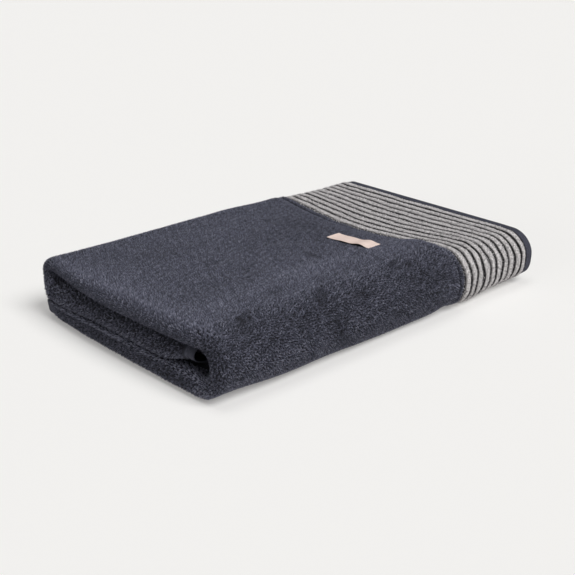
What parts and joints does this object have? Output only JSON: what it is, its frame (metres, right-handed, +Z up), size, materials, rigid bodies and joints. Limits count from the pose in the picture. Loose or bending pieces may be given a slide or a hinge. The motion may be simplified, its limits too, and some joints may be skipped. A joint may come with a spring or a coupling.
{
  "type": "folded sauna towel",
  "caption": "Large sauna towel of pile cloth with a border of raised cords, flat hems and a small sewn-on label, folded into a flat bundle.",
  "frame": {"origin": "middle of the underside of the folded bundle, on the surface it lies on", "axes": "+X along the bundle towards the ribbed border, -Y towards the round front fold, +Z up"},
  "size_m": [0.457, 0.2956, 0.0708],
  "materials": {
    "pile_cloth": "matte dark blue-grey cotton pile, with pale grey melange cords on the border",
    "label": "matte pale rose-beige, bare"
  },
  "bodies": {
    "root": {"towel": "pile_cloth", "label": "label"}
  },
  "joints": []
}
